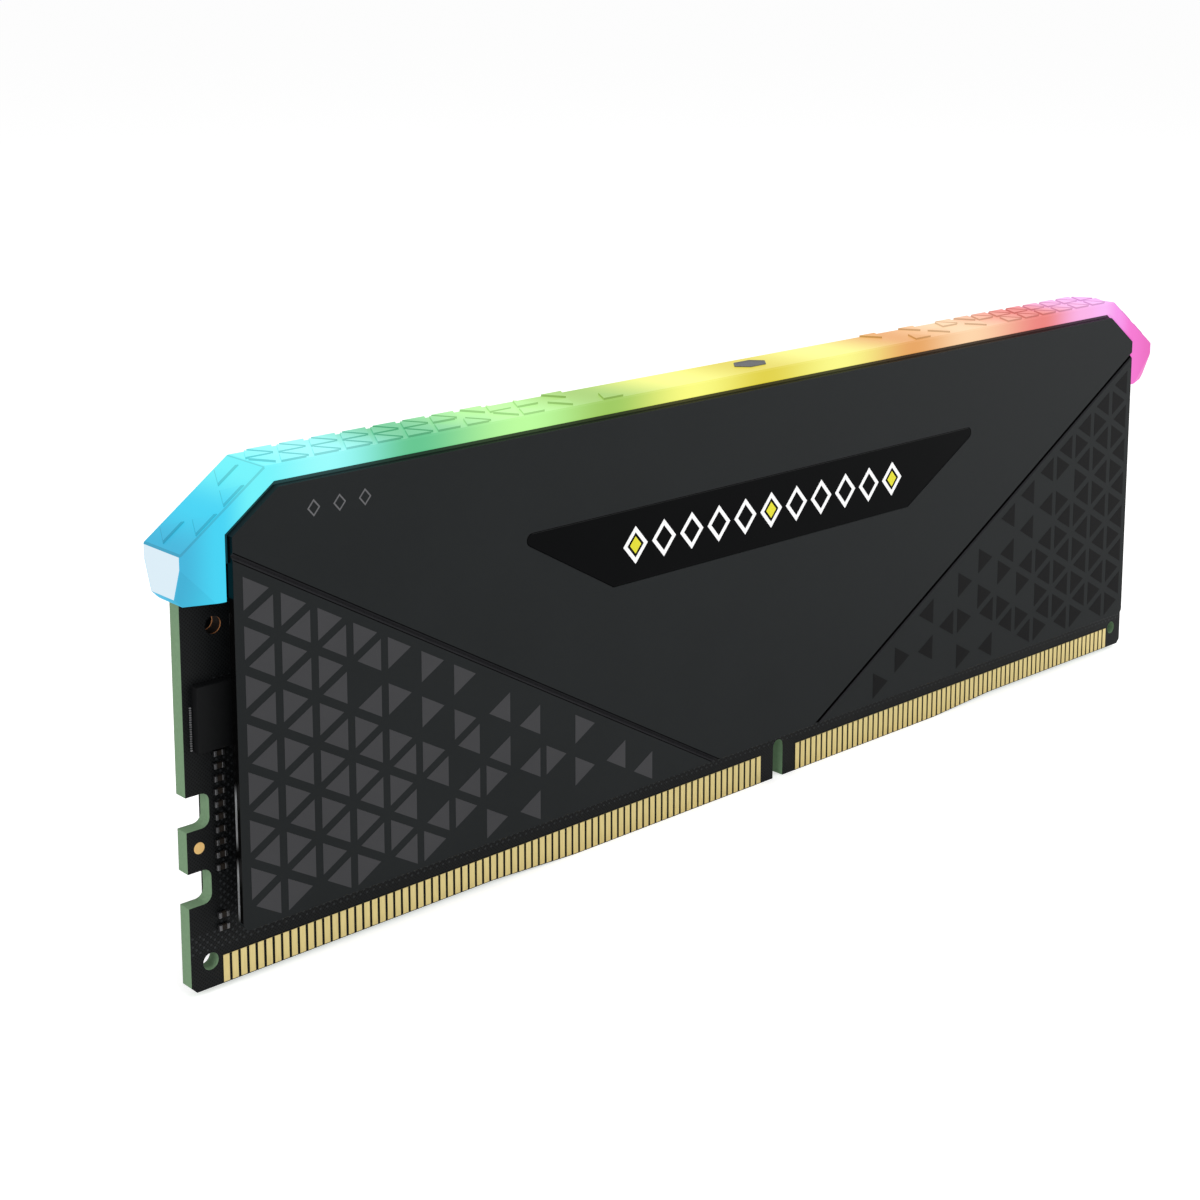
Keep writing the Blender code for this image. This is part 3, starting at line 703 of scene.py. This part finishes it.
# %% Nameplates
NAMEPLATE_SOFT = 0.06 * MM
for side in ("front", "back"):
    node = "nameplate_" + side
    shape = merged_copy(node)
    soften(shape, sharp_edges(shape, 60), NAMEPLATE_SOFT, 2)
    piece("gloss_nameplate_" + side, shape, [GLOSS], [node])

# %% Band of marks
MARKS = 11
MARK_HEIGHT = 3.7 * MM
MARK_STROKE = 0.4 * MM
MARK_PITCH = 3.75 * MM
MARK_SHAPE = 0.86
YELLOW_EVERY = 5
HEART_GAP = 0.26 * MM


def add_mark(shape, centre, height, stroke, heart):
    """A diamond outline, and with heart a smaller full diamond in it, in the second material."""
    across = height / 2 * MARK_SHAPE
    outline = [(-across, 0), (0, -height / 2), (across, 0), (0, height / 2)]
    corners = [shape.verts.new((centre[0] + x, -plate_outer, centre[1] + z)) for x, z in outline]
    middle = shape.faces.new(corners)
    middle.normal_update()
    bmesh.ops.inset_region(
        shape, faces=[middle], thickness=stroke, use_boundary=True, use_even_offset=True
    )
    if not heart:
        bmesh.ops.delete(shape, geom=[middle], context="FACES_ONLY")
        return
    gap = bmesh.ops.inset_region(
        shape, faces=[middle], thickness=HEART_GAP, use_boundary=True, use_even_offset=True
    )
    bmesh.ops.delete(shape, geom=gap["faces"], context="FACES_ONLY")
    middle.material_index = 1


def raise_ink(shape):
    """Gives flat marks their thickness, half of it sunk into the plate below."""
    grown = bmesh.ops.extrude_face_region(shape, geom=shape.faces[:], use_keep_orig=True)
    moved = [part for part in grown["geom"] if isinstance(part, bmesh.types.BMVert)]
    bmesh.ops.translate(shape, verts=moved, vec=(0, -INK, 0))
    lower = [vert for vert in shape.verts if vert not in set(moved)]
    bmesh.ops.translate(shape, verts=lower, vec=(0, INK, 0))
    outwards(shape)


name_low, name_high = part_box("nameplate_front")
name_middle = (name_low.z + name_high.z) / 2
for side in ("front", "back"):
    shape = bmesh.new()
    for i in range(MARKS):
        x = (i - (MARKS - 1) / 2) * MARK_PITCH
        heart = i % YELLOW_EVERY == 0
        add_mark(shape, (x, name_middle), MARK_HEIGHT, MARK_STROKE, heart)
    raise_ink(shape)
    turned_round(shape, side)
    piece("nameplate_marks_" + side, shape, [WHITE_INK, YELLOW_INK])

# %% Small grey marks near the upper left corner of each plate
SMALL_MARKS = 3
SMALL_MARK_HEIGHT = 1.5 * MM
SMALL_MARK_STROKE = 0.13 * MM
SMALL_MARK_PITCH = 2.6 * MM
SMALL_MARK_IN = 7.9 * MM
SMALL_MARK_DOWN = 2.4 * MM
for side in ("front", "back"):
    shape = bmesh.new()
    for i in range(SMALL_MARKS):
        place = (-half_plate + SMALL_MARK_IN + i * SMALL_MARK_PITCH, plate_top - SMALL_MARK_DOWN)
        add_mark(shape, place, SMALL_MARK_HEIGHT, SMALL_MARK_STROKE, False)
    raise_ink(shape)
    turned_round(shape, side)
    piece("small_marks_" + side, shape, [GREY_INK])

# %% [markdown]
# ## Light bar
#
# The bar is moulded from a milky plastic that spreads the light of six lamps. It is brightest
# over a lamp and deeper in colour between two. A lit plastic could be made by tracing the lamps'
# light through it, which is slow and noisy. Here the plastic shines by itself instead: a colour
# ramp along the bar, its stops at the lamps' own places, feeds the emission. The same group
# serves the faces, the raised triangles' walls and the hidden inside at different strengths. The
# dimmer walls, crease and inside are painted shade, and the paler top and whiter end are painted
# light.

# %% Colours along the bar
LAMPS = 6
LAMP_COLOURS = (
    (150, 255, 255),
    (188, 255, 155),
    (254, 254, 122),
    (254, 252, 132),
    (255, 212, 166),
    (253, 176, 232),
)
BETWEEN_LAMPS = (
    (0.42, (90, 198, 140)),
    (0.49, (156, 202, 84)),
    (0.47, (226, 210, 48)),
    (0.55, (232, 162, 84)),
    (0.63, (238, 124, 118)),
)
LEFT_END = ((-67.7, (44, 180, 220)), (-64.0, (46, 212, 246)), (-60.5, (106, 246, 254)))
RIGHT_END = (
    (57.5, (254, 180, 248)),
    (60.5, (250, 145, 235)),
    (63.5, (246, 108, 208)),
    (67.7, (236, 94, 190)),
)
lamp_places = [sum(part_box(f"light_{i + 1}"), Vector()).x / 2 / MM for i in range(LAMPS)]
stops = list(LEFT_END)
for i, colour in enumerate(LAMP_COLOURS):
    stops.append((lamp_places[i], colour))
    if i < LAMPS - 1:
        share, between = BETWEEN_LAMPS[i]
        stops.append((lamp_places[i] * (1 - share) + lamp_places[i + 1] * share, between))
stops += RIGHT_END
bar_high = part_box("light_bar")[1]
half_bar = bar_high.x
print("lamps at X in mm:", [round(place, 1) for place in lamp_places])

# %% Bar light group
BAR_LIGHT, entry, result = new_group(
    "bar_light", {"Brightness": 1.0, "Whiteness": 0.0}, {"Colour": "NodeSocketColor"}
)
x, y, z = axes_of(BAR_LIGHT, place_in_mm(BAR_LIGHT))
along = calculate(BAR_LIGHT, "MULTIPLY_ADD", x, 0.5 * MM / half_bar, 0.5)
ramp = add_node(BAR_LIGHT, "ShaderNodeValToRGB", {"Fac": along})
ramp.color_ramp.interpolation = "EASE"
for count, (place, colour) in enumerate(stops):
    position = min(max(0.5 + place * MM / half_bar / 2, 0.0), 1.0)
    elements = ramp.color_ramp.elements
    stop = elements[count] if count < 2 else elements.new(position)
    stop.position = position
    stop.color = (*screen(*colour), 1.0)
paler = blend(BAR_LIGHT, entry["Whiteness"], ramp.outputs["Color"], (1.0, 1.0, 1.0))
scaled = add_node(BAR_LIGHT, "ShaderNodeVectorMath", {0: paler}, operation="SCALE")
BAR_LIGHT.links.new(entry["Brightness"], scaled.inputs["Scale"])
BAR_LIGHT.links.new(scaled.outputs[0], result["Colour"])
print("colour stops:", len(stops))

# %% Bar finishes


def bar_finish(name, brightness, whiteness, body, grain_depth=0.05, specular=0.1):
    """Milky plastic that shines with the bar's colour at this place."""
    made, tree, shader = new_finish(name, (body, body, body), 0.4, specular=specular)
    inputs = {"Brightness": brightness, "Whiteness": whiteness}
    colour = use_group(tree, BAR_LIGHT, inputs)["Colour"]
    tree.links.new(colour, shader.inputs["Emission Color"])
    shader.inputs["Emission Strength"].default_value = 1.0
    grained(tree, shader, 0.12, grain_depth, 0.4, 0.1)
    return made


# Lit and shaded copies of one plastic: the top shines paler and the end whiter as painted light,
# and the raised walls, the crease and the inside shine dimmer as painted shade.
BAR_FINISHES = {
    "face": bar_finish("diffuser_face", 0.94, 0.0, 0.03),
    "top": bar_finish("diffuser_top_painted_light", 0.97, 0.05, 0.04),
    "wall": bar_finish("diffuser_wall_painted_shade", 0.68, 0.0, 0.02),
    "inside": bar_finish("diffuser_inside_painted_shade", 0.05, 0.0, 0.02),
    "end": bar_finish("diffuser_end_painted_light", 0.97, 0.68, 0.03),
    "facet": bar_finish("diffuser_facet", 0.88, 0.0, 0.03, 0.4),
    "crease": bar_finish("diffuser_crease_painted_shade", 0.72, 0.0, 0.03),
}
print("bar finishes:", list(BAR_FINISHES))

# %% Places on the bar
BAR_SOFT = 0.14 * MM
RELIEF = 0.2 * MM
RELIEF_SOFT = 0.11 * MM
RIDGE_IN = 8.1 * MM
SLOPE_DROP = 5.9 * MM
SHORTEST_RIM = 1.0 * MM
RIM_FROM_MIDDLE = 1.5 * MM
top_z = bar_high.z - RELIEF
bar_face = bar_high.y
ridge = half_bar - RIDGE_IN


def above_top(point):
    """How far a point is above the bar's flat top or its end slopes, whichever is more."""
    slope = math.atan2(SLOPE_DROP, RIDGE_IN)
    above_flat = point.z - top_z
    above_slope = (abs(point.x) - ridge) * math.sin(slope) + above_flat * math.cos(slope)
    return max(above_flat, above_slope)


def is_outer_rim(edge):
    """True for the long edges of the bar's front and back faces and of its end facets."""
    if edge.calc_length() < SHORTEST_RIM:
        return False
    for vert in edge.verts:
        if vert.co.z > top_z + NEAR or abs(vert.co.y) < RIM_FROM_MIDDLE:
            return False
    return max(abs(vert.co.y) for vert in edge.verts) > bar_face - NEAR


def is_slope_relief(edge):
    """True for the upper edges of the raised triangles on the end slopes."""
    heights = [above_top(vert.co) for vert in edge.verts]
    past_ridge = min(abs(vert.co.x) for vert in edge.verts) > ridge
    return past_ridge and min(heights) > RELIEF - NEAR


print("bar's flat top at Z and ridge at X, in mm:", round(top_z / MM, 2), round(ridge / MM, 2))

# %% Finish of each place on the bar
# Faces this near the middle lie hidden in the gap and get the painted shade of the inside.
BAR_HIDDEN = 2.4 * MM
LEG_HIDDEN = 1.0 * MM
LEG_FROM_PLATE = 0.1 * MM
FACET_LENGTH = 3.25 * MM
FACET_SLANT = 0.15


def bar_part(face):
    """The name of the finish that a face of the bar gets, from where the face lies."""
    middle = face.calc_center_median()
    out = abs(middle.x)
    height = above_top(middle)
    if NEAR < height < RELIEF - NEAR:
        return "wall"
    if height > -NEAR:
        return "top" if out < ridge else "face"
    if height > -BAR_SOFT:
        return "face" if out < ridge else "crease"
    if out > half_bar - NEAR:
        return "end"
    if out > half_bar - FACET_LENGTH and min(map(abs, face.normal)) > FACET_SLANT:
        return "facet"
    if out > half_board:
        return "face"
    hidden = BAR_HIDDEN if out < half_plate + LEG_FROM_PLATE else LEG_HIDDEN
    return "inside" if abs(middle.y) < hidden else "face"


print("hidden inside, in mm from the middle:", BAR_HIDDEN / MM, "and in a leg:", LEG_HIDDEN / MM)

# %% Light bar
shape = merged_copy("light_bar")
rims = [edge for edge in sharp_edges(shape, 20) if is_outer_rim(edge)]
soften(shape, rims, BAR_SOFT, 2)
rims = [edge for edge in sharp_edges(shape, 60) if is_slope_relief(edge)]
soften(shape, rims, RELIEF_SOFT, 1)
parts = [bar_part(face) for face in shape.faces]
names = list(BAR_FINISHES)
for face, part in zip(shape.faces, parts):
    face.material_index = names.index(part)
print("bar faces by finish:", {name: parts.count(name) for name in names})
piece("lit_bar", shape, BAR_FINISHES.values(), ["light_bar"])

# %% [markdown]
# ## Badge
#
# A small six-sided badge sits on the middle of the bar. It is plain brushed metal, with a raised
# border left by insetting its top face.

# %% Badge
BRUSHED, tree, shader = new_finish("brushed_badge", roughness=0.35, metallic=0.8)
streaks = noise(tree, (0.6, 14.0, 1.0), 3.0)
shade = blend(tree, streaks, screen(70, 72, 76), screen(120, 122, 126))
tree.links.new(shade, shader.inputs["Base Color"])
grained(tree, shader, 0.05, 0.1, 0.35, 0.1)
BADGE_BORDER = 0.22 * MM
BADGE_SUNK = 0.05 * MM
BADGE_SOFT = 0.02 * MM
shape = merged_copy("top_badge")
upper = max(shape.faces, key=lambda face: face.calc_center_median().z)
bmesh.ops.inset_region(shape, faces=[upper], thickness=BADGE_BORDER, use_even_offset=True)
bmesh.ops.translate(shape, verts=upper.verts[:], vec=(0, 0, -BADGE_SUNK))
soften(shape, sharp_edges(shape, 60), BADGE_SOFT, 1)
piece("badge", shape, [BRUSHED], ["top_badge"])

# %% [markdown]
# ## Small parts on the board's left end
#
# The light controller is a black epoxy package with a fine row of tinned pins along its left
# side. Below it stands a column of ceramic capacitors, each a brown block with two tinned ends.
# A gold dot near the notches is the mark that the assembly machine aligns the board with.

# %% Finishes of the small parts
EPOXY, tree, shader = new_finish("chip_epoxy", roughness=0.6, specular=0.1)
cloud = grained(tree, shader, 0.05, 0.3, 0.6, 0.1)
shade = blend(tree, cloud, screen(9, 10, 11), screen(15, 16, 17))
tree.links.new(shade, shader.inputs["Base Color"])


def tin_finish(name, roughness, darker, lighter):
    made, tree, shader = new_finish(name, metallic=1.0)
    cloud = grained(tree, shader, 0.06, 0.2, roughness, 0.2)
    tree.links.new(blend(tree, cloud, darker, lighter), shader.inputs["Base Color"])
    return made


# The capacitors' tin is darker than bare tin, as painted shade under the plate.
SHADED_TIN = tin_finish("tin_painted_shade", 0.4, screen(92, 92, 94), screen(132, 132, 134))
BRIGHT_TIN = tin_finish("bright_tin", 0.6, screen(158, 159, 161), screen(186, 187, 189))

CERAMIC, tree, shader = new_finish("ceramic", roughness=0.5, specular=0.1)
cloud = grained(tree, shader, 0.05, 0.15, 0.5, 0.1)
shade = blend(tree, cloud, screen(28, 24, 21), screen(42, 37, 32))
tree.links.new(shade, shader.inputs["Base Color"])
print("finishes:", EPOXY.name, SHADED_TIN.name, BRIGHT_TIN.name, CERAMIC.name)

# %% Light controller
PINS = 19
PIN_PITCH = 0.2 * MM
PIN_SIZE = Vector((0.15, 0.12, 0.09)) * MM
PIN_ROW = 0.3 * MM
PIN_FROM_END = 0.03 * MM
FIRST_PIN = 0.75
PACKAGE_SOFT = 0.06 * MM
low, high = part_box("light_controller")
shape = bmesh.new()
body_low = low.x + PIN_ROW
size = (high.x - body_low, high.y - low.y, high.z - low.z)
centre = ((high.x + body_low) / 2, (low.y + high.y) / 2, (low.z + high.z) / 2)
add_block(shape, size, centre)
soften(shape, shape.edges[:], PACKAGE_SOFT, 2)
body_faces = set(shape.faces)
pin_x = low.x + PIN_SIZE.x / 2 + PIN_FROM_END
for i in range(PINS):
    z = low.z + (i + FIRST_PIN) * PIN_PITCH
    add_block(shape, PIN_SIZE, (pin_x, high.y - PIN_SIZE.y / 2, z))
for face in shape.faces:
    face.material_index = 0 if face in body_faces else 1
piece("controller_package", shape, [EPOXY, BRIGHT_TIN], ["light_controller"])

# %% Capacitors
CAPACITORS = 12
TERMINAL_SHARE = 0.28
BODY_SHARE = 0.9
BODY_SOFT = 0.03 * MM
TERMINAL_SOFT = 0.05 * MM
for i in range(CAPACITORS):
    node = f"capacitor_{i + 1:02d}"
    low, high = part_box(node)
    size = high - low
    shape = bmesh.new()
    inner = (size.x * (1 - TERMINAL_SHARE), size.y * BODY_SHARE, size.z * BODY_SHARE)
    add_block(shape, inner, (low + high) / 2)
    soften(shape, shape.edges[:], BODY_SOFT, 1)
    body_faces = set(shape.faces)
    for x in (low.x, high.x):
        half = size.x * TERMINAL_SHARE / 2
        middle = (low + high) / 2
        middle.x = x + half if x == low.x else x - half
        block = add_block(shape, (2 * half, size.y, size.z), middle)
        edges = list({edge for vert in block for edge in vert.link_edges})
        soften(shape, edges, TERMINAL_SOFT, 2)
    for face in shape.faces:
        face.material_index = 0 if face in body_faces else 1
    piece(f"ceramic_{node}", shape, [CERAMIC, SHADED_TIN], [node])

# %% Alignment dots
DOT_RADIUS = 0.5 * MM
DOT_IN = 1.13 * MM
DOT_UP = 13.0 * MM
DOT_DEPTH = 0.04 * MM
DOT_SEGMENTS = 32
for end, sign in (("left", -1), ("right", 1)):
    shape = bmesh.new()
    centre = (sign * (half_board - DOT_IN), -board_face, DOT_UP)
    place = Matrix.Translation(centre) @ Matrix.Rotation(math.pi / 2, 4, "X")
    bmesh.ops.create_cone(
        shape,
        cap_ends=True,
        segments=DOT_SEGMENTS,
        radius1=DOT_RADIUS,
        radius2=DOT_RADIUS,
        depth=DOT_DEPTH,
        matrix=place,
    )
    piece("alignment_dot_" + end, shape, [DOT_GOLD])

# %% [markdown]
# ## Parts inside
#
# Between the plates stand sixteen memory chips, the settings chip and two soft thermal pads, and
# the six lamps stand under the bar. Their CAD solids are plain blocks, as the real packages are,
# so they stay and get their finishes.

# %% Inside finishes
LAMP_FRONT = 0.05
LABEL_ROW = 1.8
LABEL_BAR = 0.14
LABEL_BLOCK = (-4.0, 13.5)
PAD, tree, shader = new_finish("silicone_pad", roughness=0.85, specular=0.3)
cloud = grained(tree, shader, 0.2, 0.4, 0.85, 0.1)
shade = blend(tree, cloud, screen(128, 138, 150), screen(160, 168, 176))
tree.links.new(shade, shader.inputs["Base Color"])

LAMP, tree, shader = new_finish("lamp_package", roughness=0.4)
x, y, z = axes_of(tree, place_in_mm(tree))
cloud = grained(tree, shader, 0.1, 0.1, 0.4, 0.1)
front = calculate(tree, "LESS_THAN", y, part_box("light_1")[0].y / MM + LAMP_FRONT)
shade = blend(tree, cloud, screen(225, 222, 205), screen(240, 238, 226))
tree.links.new(blend(tree, front, shade, screen(238, 214, 120)), shader.inputs["Base Color"])

LABEL, tree, shader = new_finish("label_film", roughness=0.5, specular=0.4)
x, y, z = axes_of(tree, place_in_mm(tree))
label_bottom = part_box("rear_label")[0].z / MM
above_edge = calculate(tree, "SUBTRACT", z, label_bottom)
row = calculate(tree, "FRACT", calculate(tree, "DIVIDE", above_edge, LABEL_ROW))
from_row = calculate(tree, "ABSOLUTE", calculate(tree, "SUBTRACT", row, 0.5))
in_row = calculate(tree, "LESS_THAN", from_row, LABEL_BAR)
in_block = calculate(tree, "COMPARE", x, *LABEL_BLOCK)
printed = calculate(tree, "MULTIPLY", in_row, in_block)
cloud = grained(tree, shader, 0.1, 0.06, 0.5, 0.08)
paper = blend(tree, cloud, screen(188, 190, 192), screen(204, 206, 208))
tree.links.new(blend(tree, printed, paper, screen(70, 72, 76)), shader.inputs["Base Color"])
print("finishes:", PAD.name, LAMP.name, LABEL.name)

# %% Give them to the CAD nodes
for node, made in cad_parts.items():
    if made.hide_render or node == "circuit_board":
        continue
    if "chip" in node:
        finish = EPOXY
    elif "pad" in node:
        finish = PAD
    elif node.startswith("light_"):
        finish = LAMP
    else:
        finish = LABEL
    made.data.materials.clear()
    made.data.materials.append(finish)
    print(node, "has", finish.name)
